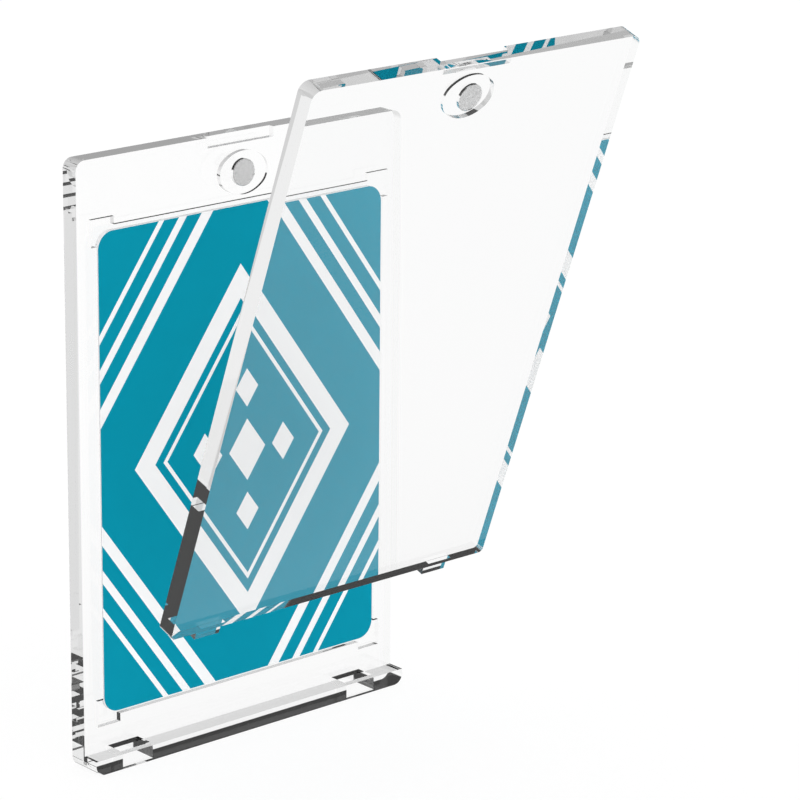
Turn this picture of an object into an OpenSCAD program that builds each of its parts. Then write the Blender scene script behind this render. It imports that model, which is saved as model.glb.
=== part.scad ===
// Trading card display case: clear rear shell on a low ledge, clear snap cover held by a
// magnet pair, and one standard card lying in the shell's pocket.
// X = width, Y = depth (viewer side -Y), Z up; the mating plane of the two halves is y = 0.

/* [Case] */
// outer width of both halves
case_w = 72.8; // [60:0.1:100]
// outer height of the closed case
case_h = 112; // [90:0.1:150]
// thickness of the rear shell
rear_t = 3.65; // [2.5:0.05:6]
// thickness of the cover
cover_t = 3.5; // [2.5:0.05:6]
// how far the ledge stands forward of the mating plane
ledge_d = 3.5; // [2.5:0.05:6]
// height of the ledge
ledge_h = 2.85; // [2:0.05:6]
// radius of the two top corners of both halves
corner_r = 1.9; // [0.5:0.1:4]
// radius of the ledge's two bottom corners
ledge_r = 1.9; // [0.5:0.1:4]
// radius of the cover's two bottom corners
cover_foot_r = 0.9; // [0.3:0.1:3]
// gap between ledge and closed cover
fit_gap = 0.05; // [0.05:0.05:0.5]

/* [Card] */
// width of the card
card_w = 63.5; // [55:0.1:75]
// height of the card
card_h = 88.9; // [80:0.1:100]
// thickness of the card
card_t = 0.89; // [0.3:0.01:1.2]
// corner radius of the card
card_r = 3.18; // [1:0.01:5]
// height of the card's bottom edge above the rest face
card_z = 9.8; // [6:0.1:20]
// clearance at each side edge of the card
card_gap_side = 0.3; // [0.1:0.05:1]
// clearance under the card
card_gap_low = 0.65; // [0.1:0.05:2]
// clearance over the card
card_gap_high = 1.05; // [0.1:0.05:2]
// air behind the card
card_gap_rear = 0.05; // [0.02:0.01:0.2]
// how far the card's face lies below the mating plane
card_sink = 0.11; // [0.05:0.01:0.5]

/* [Pocket corners] */
// side of the square relief at each pocket corner
ear_size = 5; // [3:0.1:8]
// reach of the relief past the pocket's side
ear_out_x = 1.25; // [0.5:0.05:2]
// reach of the relief past the pocket's top and bottom
ear_out_z = 1.5; // [0.5:0.05:2]

/* [Thumb notch] */
// width of the notch at the top edge
notch_w = 15; // [8:0.1:30]
// height of the notch
notch_h = 1.85; // [1:0.05:2.5]
// depth of the notch from the mating face
notch_d = 1.15; // [0.5:0.05:2]

/* [Magnet boss] */
// long axis of the oval boss
boss_w = 10.9; // [8:0.1:14]
// short axis of the oval boss
boss_h = 8; // [6.5:0.1:10]
// radius of the oval's two ends
boss_end_r = 3.2; // [2.5:0.05:4]
// how far the boss stands forward of the mating plane
boss_rise = 0.9; // [0.5:0.05:1.2]
// distance from the case's top edge to the boss centre
boss_drop = 7.1; // [6:0.1:9]
// clearance around the boss in the cover's oval pocket
boss_gap = 0.1; // [0.05:0.05:0.3]
// magnet diameter
magnet_d = 4.9; // [4:0.1:6]
// magnet thickness
magnet_t = 1; // [0.6:0.1:1.2]
// edge chamfer of a magnet
magnet_c = 0.12; // [0.05:0.01:0.2]
// radial clearance of a magnet in its seat
magnet_gap = 0.06; // [0.03:0.01:0.2]
// air behind a magnet in its seat
magnet_gap_rear = 0.03; // [0.02:0.01:0.2]

/* [Tongues and slots] */
// distance from the middle to a tongue's centre line
tongue_x = 26.5; // [15:0.1:30]
// width of a tongue
tongue_w = 5.4; // [3:0.1:8]
// length of a tongue below the cover
tongue_l = 3; // [1.5:0.1:4]
// thickness of a tongue
tongue_t = 1.8; // [1:0.05:2.5]
// step from the cover's rear face to the tongue
tongue_in = 0.1; // [0.05:0.05:0.5]
// clearance at each side of a tongue in its slot
slot_gap_side = 0.7; // [0.2:0.05:1.5]
// clearance in front of a seated tongue
slot_gap_front = 0.2; // [0.1:0.05:0.5]
// how far a slot runs back under the rear shell
slot_back = 3.1; // [1:0.05:3.3]

/* [Cover pose] */
// forward lean of the raised cover
cover_tilt = 20.12; // [0:0.01:40]
// distance of the raised cover's lower rear edge in front of the mating plane
cover_fwd = 21.96; // [5:0.01:60]
// height of the raised cover's lower rear edge
cover_lift = 33.42; // [10:0.01:80]

/* [Hidden] */
$fn = 96;
cut = 1;
cover_h = case_h - ledge_h - fit_gap;
pocket_w = card_w + 2 * card_gap_side;
pocket_d = card_sink + card_t + card_gap_rear;
pocket_z0 = card_z - card_gap_low;
pocket_z1 = card_z + card_h + card_gap_high;
boss_z = case_h - boss_drop;
cover_boss_z = cover_h - boss_drop;
cover_pocket_d = boss_rise + boss_gap;
seat_d = magnet_d + 2 * magnet_gap;
seat_t = magnet_t + magnet_gap_rear;
slot_w = tongue_w + 2 * slot_gap_side;
slot_front = tongue_in + tongue_t + slot_gap_front;

// Extrudes a front-view outline (x, z) so that it fills y0..y1.
module between(y0, y1) {
    translate([0, y1, 0])
        rotate([90, 0, 0])
            linear_extrude(y1 - y0)
                children();
}

// Rectangle standing on z = 0 with true corner arcs.
module panel(w, h, r_low, r_high) {
    translate([-w / 2, r_low])
        square([w, h - r_low - r_high]);
    translate([r_low - w / 2, 0])
        square([w - 2 * r_low, r_low + cut]);
    translate([r_high - w / 2, h - r_high - cut])
        square([w - 2 * r_high, r_high + cut]);
    for (side = [-1, 1]) {
        translate([side * (w / 2 - r_low), r_low])
            circle(r_low);
        translate([side * (w / 2 - r_high), h - r_high])
            circle(r_high);
    }
}

// Four-centre oval: two end circles joined by two wide tangent arcs.
module oval(w, h, r) {
    c = w / 2 - r;
    k = (c * c - (h / 2 - r) * (h / 2 - r)) / (2 * (h / 2 - r));
    wide_r = h / 2 + k;
    join_x = wide_r * c / sqrt(c * c + k * k);
    for (side = [-1, 1])
        translate([side * c, 0])
            circle(r);
    intersection() {
        translate([0, -k])
            circle(wide_r, $fn = 192);
        translate([0, k])
            circle(wide_r, $fn = 192);
        square([2 * join_x, h + 2 * cut], center = true);
    }
}

// Front-view outline of the card pocket with a square relief at each corner.
module pocket_outline() {
    translate([-pocket_w / 2, pocket_z0])
        square([pocket_w, pocket_z1 - pocket_z0]);
    for (side = [-1, 1]) {
        ear_x = side * (pocket_w / 2 + ear_out_x - ear_size / 2);
        for (ear_z = [pocket_z0 - ear_out_z, pocket_z1 + ear_out_z - ear_size])
            translate([ear_x - ear_size / 2, ear_z])
                square(ear_size);
    }
}

// Front-view outline of the thumb notch below a top edge at height top_z.
module notch_outline(top_z) {
    translate([-notch_w / 2, top_z - notch_h])
        square([notch_w, notch_h + cut]);
}

// Round hole running from y0 back to y1 at height z.
module bore(d, y0, y1, z) {
    between(y0, y1)
        translate([0, z])
            circle(d / 2);
}

// Disc magnet with broken edges, front face at y = 0, body toward +Y.
module magnet_disc() {
    rotate([-90, 0, 0])
        rotate_extrude()
            polygon([
                [0, 0],
                [magnet_d / 2 - magnet_c, 0],
                [magnet_d / 2, magnet_c],
                [magnet_d / 2, magnet_t - magnet_c],
                [magnet_d / 2 - magnet_c, magnet_t],
                [0, magnet_t]
            ]);
}

// Carries the cover's own frame (lower rear edge at the origin) to the raised pose.
module raised() {
    translate([0, -cover_fwd, cover_lift])
        rotate([cover_tilt, 0, 0])
            children();
}

module rear_shell() {
    color([0.93, 0.96, 0.96, 0.3])
        difference() {
            union() {
                between(0, rear_t)
                    panel(case_w, case_h, ledge_r, corner_r);
                between(-ledge_d, rear_t)
                    intersection() {
                        panel(case_w, case_h, ledge_r, corner_r);
                        translate([-case_w / 2, 0])
                            square([case_w, ledge_h]);
                    }
                between(-boss_rise, rear_t / 2)
                    translate([0, boss_z])
                        oval(boss_w, boss_h, boss_end_r);
            }
            between(-cut, pocket_d)
                pocket_outline();
            between(-cut, notch_d)
                notch_outline(case_h);
            bore(seat_d, -boss_rise - cut, seat_t - boss_rise, boss_z);
            for (side = [-1, 1])
                translate([side * tongue_x - slot_w / 2, -slot_front, -cut]) {
                    cube([slot_w, slot_front + slot_back, cut + ledge_h]);
                    cube([slot_w, slot_front, 2 * cut + ledge_h]);
                }
        }
}

module front_cover() {
    color([0.93, 0.96, 0.96, 0.3])
        raised() {
            difference() {
                between(-cover_t, 0)
                    panel(case_w, cover_h, cover_foot_r, corner_r);
                between(-cover_pocket_d, cut)
                    translate([0, cover_boss_z])
                        oval(boss_w + 2 * boss_gap, boss_h + 2 * boss_gap, boss_end_r + boss_gap);
                between(-notch_d, cut)
                    notch_outline(cover_h);
                bore(seat_d, -cover_pocket_d - seat_t, 0, cover_boss_z);
            }
            for (side = [-1, 1])
                translate([side * tongue_x - tongue_w / 2, -tongue_in - tongue_t, -tongue_l])
                    cube([tongue_w, tongue_t, tongue_l + cut]);
        }
}

module card_insert() {
    color([0.18, 0.62, 0.66])
        between(card_sink, card_sink + card_t)
            translate([0, card_z])
                panel(card_w, card_h, card_r, card_r);
}

module rear_magnet() {
    color([0.72, 0.73, 0.75])
        translate([0, -boss_rise, boss_z])
            magnet_disc();
}

module front_magnet() {
    color([0.72, 0.73, 0.75])
        raised()
            translate([0, -cover_pocket_d - magnet_t, cover_boss_z])
                magnet_disc();
}

rear_shell();
front_cover();
card_insert();
rear_magnet();
front_magnet();
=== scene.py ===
"""Looks for a clear trading card display case: rear shell, lifted cover, card and magnets."""

import math

import bpy
from mathutils import Matrix, Vector


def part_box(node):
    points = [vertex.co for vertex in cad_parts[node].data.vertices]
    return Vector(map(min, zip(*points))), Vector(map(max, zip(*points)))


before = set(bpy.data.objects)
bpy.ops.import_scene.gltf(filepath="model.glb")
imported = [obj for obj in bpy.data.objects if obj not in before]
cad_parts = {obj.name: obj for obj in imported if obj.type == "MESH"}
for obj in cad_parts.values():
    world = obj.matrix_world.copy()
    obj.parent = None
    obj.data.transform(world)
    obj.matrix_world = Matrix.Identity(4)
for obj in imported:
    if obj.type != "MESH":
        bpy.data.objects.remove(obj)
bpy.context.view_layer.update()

MM = 0.001
scene = bpy.context.scene


# ------------------------------------------------------------ node arithmetic


def add(tree, kind, **settings):
    """A new node with some of its settings."""
    node = tree.nodes.new(kind)
    for key, value in settings.items():
        setattr(node, key, value)
    return node


class Field:
    """A number that a node tree works out at each shaded point, written as plain arithmetic."""

    def __init__(self, tree, socket):
        self.tree = tree
        self.socket = socket

    def math(self, operation, *others):
        node = add(self.tree, "ShaderNodeMath", operation=operation)
        for slot, value in zip(node.inputs, (self, *others)):
            if isinstance(value, Field):
                self.tree.links.new(value.socket, slot)
            else:
                slot.default_value = value
        return Field(self.tree, node.outputs[0])

    def __add__(self, other):
        return self.math("ADD", other)

    def __sub__(self, other):
        return self.math("SUBTRACT", other)

    def __mul__(self, other):
        return self.math("MULTIPLY", other)

    def __neg__(self):
        return self * -1.0

    def __abs__(self):
        return self.math("ABSOLUTE")

    def __lt__(self, other):
        return self.math("LESS_THAN", other)

    def __gt__(self, other):
        return self.math("GREATER_THAN", other)

    def least(self, other):
        return self.math("MINIMUM", other)

    def most(self, other):
        return self.math("MAXIMUM", other)

    def decay(self, share):
        """What is left after this many steps that each keep a share."""
        node = add(self.tree, "ShaderNodeMath", operation="POWER")
        node.inputs[0].default_value = share
        self.tree.links.new(self.socket, node.inputs[1])
        return Field(self.tree, node.outputs[0])

    def ramp(self, start, end):
        """0 up to start, 1 from end on, and a straight line between them."""
        node = add(self.tree, "ShaderNodeMapRange")
        self.tree.links.new(self.socket, node.inputs["Value"])
        node.inputs["From Min"].default_value = start
        node.inputs["From Max"].default_value = end
        return Field(self.tree, node.outputs[0])


def position(tree):
    """x, y, z of the piece's own coordinates, in millimetres."""
    split = add(tree, "ShaderNodeSeparateXYZ")
    coords = add(tree, "ShaderNodeTexCoord")
    tree.links.new(coords.outputs["Object"], split.inputs[0])
    return [Field(tree, out) * (1 / MM) for out in split.outputs]


def mix_colours(tree, mask, low, high):
    """Colour low where mask is 0 and high where it is 1."""
    node = add(tree, "ShaderNodeMix", data_type="RGBA")
    tree.links.new(mask.socket, node.inputs["Factor"])
    for name, value in (("A", low), ("B", high)):
        slot = next(s for s in node.inputs if s.name == name and s.type == "RGBA")
        if isinstance(value, tuple):
            slot.default_value = (*value, 1)
        else:
            tree.links.new(value, slot)
    return next(s for s in node.outputs if s.type == "RGBA")


def shades(tree, mask, colour, spread):
    """The colour times spread's first share where mask is 0, and its second where it is 1."""
    low, high = (tuple(c * share for c in colour) for share in spread)
    return mix_colours(tree, mask, low, high)


def noise(tree, scale, detail=2.0):
    """Noise on the piece's own coordinates; scale is in features per metre."""
    coords = add(tree, "ShaderNodeTexCoord")
    node = add(tree, "ShaderNodeTexNoise")
    node.inputs["Scale"].default_value = scale
    node.inputs["Detail"].default_value = detail
    tree.links.new(coords.outputs["Object"], node.inputs["Vector"])
    return Field(tree, node.outputs["Fac"])


def bump(tree, shader, height, distance, strength=1.0):
    """Relief from a height between 0 and 1; distance is its depth in metres."""
    node = add(tree, "ShaderNodeBump")
    node.inputs["Distance"].default_value = distance
    node.inputs["Strength"].default_value = strength
    tree.links.new(height.socket, node.inputs["Height"])
    tree.links.new(node.outputs[0], shader.inputs["Normal"])


# ------------------------------------------------------------------ materials

ACRYLIC_IOR = 1.49
ACRYLIC_TINT = (0.995, 0.996, 0.996)
TINT_DRIFT = 0.002
TINT_SCALE = 40.0
WAVE_SCALE = 50.0
WAVE_DETAIL = 1.0
WAVE_DEPTH = 0.000004

# both magnets are one nickel; the front one's grey is written brighter than the rear one's,
# painted light that makes up for the dimming by the cover plate it is seen through
NICKEL_REAR = 0.66
NICKEL_FRONT_PAINTED_BRIGHTER = 0.96
NICKEL_SPREAD = (0.94, 1.04)
NICKEL_METALLIC = 0.35
NICKEL_ROUGHNESS = 0.42
SPECKLE_SCALE = 1800.0
SPECKLE_DETAIL = 3.0
SPECKLE_FROM = 0.35
SPECKLE_TO = 0.65
SATIN_SCALE = 2500.0
SATIN_DEPTH = 0.00002
SATIN_STRENGTH = 0.4

TEAL = (0.0016, 0.291, 0.413)
TEAL_SPREAD = (0.97, 1.03)
MOTTLE_SCALE = 90.0
CARD_WHITE = (0.970, 0.975, 0.980)
CARD_ROUGHNESS = 0.6
CARD_SPECULAR = 0.02
PAPER_SCALE = 4000.0
PAPER_DEPTH = 0.000004
PAPER_STRENGTH = 0.3

# the share of a normal that points along the depth on the card's two printed faces
PRINTED_FACE = 0.5

# the card's print: diamonds of one slope, measured in millimetres across from the middle;
# each band has its distance and its half width
DIAMOND_SLOPE = 0.72
RINGS = ((22.0, 2.3), (17.4, 0.45))
CORNER_BARS = ((39.5, 1.3), (45.0, 0.9), (49.8, 0.6))
CORE = 4.2
SATELLITE = 2.6
SATELLITE_AT = 8.4


def new_material(name):
    """A node material with its Principled shader."""
    mat = bpy.data.materials.new(name)
    mat.use_nodes = True
    return mat, mat.node_tree, mat.node_tree.nodes["Principled BSDF"]


def clear_acrylic(name):
    """Polished clear plastic with the faint waviness and tint drift of a moulded plate."""
    mat, tree, shader = new_material(name)
    low, high = (tuple(c + drift for c in ACRYLIC_TINT) for drift in (-TINT_DRIFT, TINT_DRIFT))
    tint = mix_colours(tree, noise(tree, TINT_SCALE), low, high)
    tree.links.new(tint, shader.inputs["Base Color"])
    shader.inputs["Roughness"].default_value = 0.0
    shader.inputs["IOR"].default_value = ACRYLIC_IOR
    shader.inputs["Transmission Weight"].default_value = 1.0
    bump(tree, shader, noise(tree, WAVE_SCALE, WAVE_DETAIL), WAVE_DEPTH)
    return mat


def nickel(name, shade):
    """Nickel plate of one grey with a fine satin grain; the front magnet's grey is painted
    brighter to stand in for the light the cover plate takes away.
    """
    mat, tree, shader = new_material(name)
    speckle = noise(tree, SPECKLE_SCALE, SPECKLE_DETAIL).ramp(SPECKLE_FROM, SPECKLE_TO)
    plate = shades(tree, speckle, (shade,) * 3, NICKEL_SPREAD)
    tree.links.new(plate, shader.inputs["Base Color"])
    shader.inputs["Metallic"].default_value = NICKEL_METALLIC
    shader.inputs["Roughness"].default_value = NICKEL_ROUGHNESS
    bump(tree, shader, noise(tree, SATIN_SCALE), SATIN_DEPTH, SATIN_STRENGTH)
    return mat


def card_design(tree):
    """Mask of the white print: a diamond ring round five diamonds, and bars across the corners."""
    low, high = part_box("card_insert")
    middle = (low + high) / 2 / MM
    x, _, z = position(tree)
    across = abs(x - middle.x)
    up = abs(z - middle.z) * DIAMOND_SLOPE
    diamond = across + up
    white = diamond < CORE
    for centre, half_width in (*RINGS, *CORNER_BARS):
        white = white.most(abs(diamond - centre) < half_width)
    beside = abs(across - SATELLITE_AT) + up
    above = across + abs(up - SATELLITE_AT)
    return white.most(beside.least(above) < SATELLITE)


def card_stock(name):
    """Printed and coated card: the design on both faces, bare white stock at the edges."""
    mat, tree, shader = new_material(name)
    facing = add(tree, "ShaderNodeSeparateXYZ")
    tree.links.new(add(tree, "ShaderNodeNewGeometry").outputs["Normal"], facing.inputs[0])
    printed = abs(Field(tree, facing.outputs["Y"])) > PRINTED_FACE
    teal = shades(tree, noise(tree, MOTTLE_SCALE), TEAL, TEAL_SPREAD)
    face = mix_colours(tree, card_design(tree), teal, CARD_WHITE)
    colour = mix_colours(tree, printed, CARD_WHITE, face)
    tree.links.new(colour, shader.inputs["Base Color"])
    shader.inputs["Roughness"].default_value = CARD_ROUGHNESS
    shader.inputs["Specular IOR Level"].default_value = CARD_SPECULAR
    bump(tree, shader, noise(tree, PAPER_SCALE), PAPER_DEPTH, PAPER_STRENGTH)
    return mat


def dress(node, mat):
    """Gives a CAD node its material."""
    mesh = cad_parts[node].data
    mesh.materials.clear()
    mesh.materials.append(mat)


acrylic = clear_acrylic("clear_acrylic")
dress("rear_shell", acrylic)
dress("front_cover", acrylic)
dress("card_insert", card_stock("card_print"))
dress("rear_magnet", nickel("rear_magnet_nickel", NICKEL_REAR))
# painted light: the front magnet's nickel is written brighter to offset the cover plate's dimming
dress("front_magnet", nickel("front_magnet_nickel_painted_brighter", NICKEL_FRONT_PAINTED_BRIGHTER))


# --------------------------------------------------------------------- studio

FLOOR_RADIUS = 3.0
FLOOR_SIDES = 96
FLOOR_DROP = 0.0001
FLOOR_WHITE = 0.97
SHADOW_SHARE = 0.1
SKY_LIGHT = 1.16

# what polished pieces mirror and refract, by direction: a white backdrop that dims a little
# towards the front and below, under a dark ceiling
CEILING = 0.012
CEILING_FROM = 0.10
CEILING_TO = 0.20
FRONT = 0.92
FRONT_FROM = 0.0
FRONT_TO = 0.3
BELOW = 0.78
BELOW_FROM = 0.3
BELOW_TO = 0.7

# light kept by each reflection inside a clear piece, and how many of them are followed; after
# that a ray sees the backdrop, unless a surface is nearer than the reach, in metres
REFLECTION_KEEPS = 0.985
REFLECTIONS = 18
REFLECTION_REACH = 0.0001
CLEAR_BOUNCES = 96
MATT_BOUNCES = 4

# the photo's viewpoint: degrees, and millimetres in the part's frame
AZIMUTH = -41.70
ELEVATION = 16.81
ROLL = 0.56
CAMERA_AT = (-412.66, -506.19, 259.94)
LENS = 169.9
SENSOR = 36
CLIP_START = 0.05
CLIP_END = 50


def light_path(tree):
    """1 for camera rays, 1 for light scattered by a matt surface, and the reflections so far."""
    path = add(tree, "ShaderNodeLightPath")
    camera = Field(tree, path.outputs["Is Camera Ray"])
    scattered = Field(tree, path.outputs["Diffuse Depth"]) > 0.5
    reflections = Field(tree, path.outputs["Glossy Depth"])
    return camera, scattered, reflections


def blend_shaders(tree, share, first, second):
    """The first shader where share is 0 and the second where it is 1."""
    node = add(tree, "ShaderNodeMixShader")
    tree.links.new(share.socket, node.inputs["Fac"])
    tree.links.new(first.outputs[0], node.inputs[1])
    tree.links.new(second.outputs[0], node.inputs[2])
    return node


def make_floor():
    """A pale disc that keeps a faint shadow; polished pieces see the backdrop in its place."""
    bpy.ops.mesh.primitive_circle_add(
        vertices=FLOOR_SIDES, radius=FLOOR_RADIUS, fill_type="NGON"
    )
    floor = bpy.context.object
    floor.name = "studio_floor"
    floor.location.z = -FLOOR_DROP
    mat, tree, shader = new_material("floor_white")
    shader.inputs["Base Color"].default_value = (FLOOR_WHITE,) * 3 + (1,)
    shader.inputs["Roughness"].default_value = 1.0
    shader.inputs["Specular IOR Level"].default_value = 0.0
    camera, scattered, _ = light_path(tree)
    glow = add(tree, "ShaderNodeEmission")
    surface = blend_shaders(tree, camera * (1 - SHADOW_SHARE), shader, glow)
    clear = add(tree, "ShaderNodeBsdfTransparent")
    blend = blend_shaders(tree, camera.most(scattered), clear, surface)
    tree.links.new(blend.outputs[0], tree.nodes["Material Output"].inputs["Surface"])
    floor.data.materials.append(mat)


def make_world():
    """Even soft light on matt surfaces, and the backdrop that polished pieces show."""
    world = bpy.data.worlds.new("studio")
    scene.world = world
    world.use_nodes = True
    world.light_settings.distance = REFLECTION_REACH
    tree = world.node_tree
    coords = add(tree, "ShaderNodeTexCoord")
    split = add(tree, "ShaderNodeSeparateXYZ")
    tree.links.new(coords.outputs["Generated"], split.inputs[0])
    _, along, height = (Field(tree, out) for out in split.outputs)
    camera, scattered, reflections = light_path(tree)
    front = (-along).ramp(FRONT_FROM, FRONT_TO) * (FRONT - 1) + 1.0
    below = (-height).ramp(BELOW_FROM, BELOW_TO) * (BELOW - 1) + 1.0
    ceiling = height.ramp(CEILING_FROM, CEILING_TO) * (CEILING - 1) + 1.0
    backdrop = front * below * ceiling
    even = scattered * (SKY_LIGHT - 1) + 1.0
    plain = camera.most(scattered)
    strength = plain * even + (plain * -1.0 + 1.0) * backdrop
    left = reflections.decay(REFLECTION_KEEPS)
    tree.links.new((strength * left).socket, tree.nodes["Background"].inputs["Strength"])
    tree.nodes["Background"].inputs["Color"].default_value = (1, 1, 1, 1)


def make_camera():
    """The photo's viewpoint: a long lens from the front left, a little above."""
    azimuth, elevation, roll = (math.radians(angle) for angle in (AZIMUTH, ELEVATION, ROLL))
    back = Vector((
        math.sin(azimuth) * math.cos(elevation),
        -math.cos(azimuth) * math.cos(elevation),
        math.sin(elevation),
    ))
    data = bpy.data.cameras.new("photo_camera")
    data.lens = LENS
    data.sensor_width = SENSOR
    data.clip_start = CLIP_START
    data.clip_end = CLIP_END
    camera = bpy.data.objects.new("photo_camera", data)
    scene.collection.objects.link(camera)
    camera.location = Vector(CAMERA_AT) * MM
    turn = back.to_track_quat("Z", "Y").to_matrix()
    camera.rotation_euler = (turn @ Matrix.Rotation(roll, 3, "Z")).to_euler()
    scene.camera = camera


def follow_light():
    """How far light is followed: deep into the clear plates, where caught rays are let go."""
    cycles = scene.cycles
    cycles.max_bounces = CLEAR_BOUNCES
    cycles.transmission_bounces = CLEAR_BOUNCES
    cycles.glossy_bounces = CLEAR_BOUNCES
    cycles.diffuse_bounces = MATT_BOUNCES
    cycles.use_fast_gi = True
    cycles.fast_gi_method = "REPLACE"
    cycles.ao_bounces = REFLECTIONS
    cycles.ao_bounces_render = REFLECTIONS


make_floor()
make_world()
make_camera()
follow_light()
scene.view_settings.view_transform = "Standard"
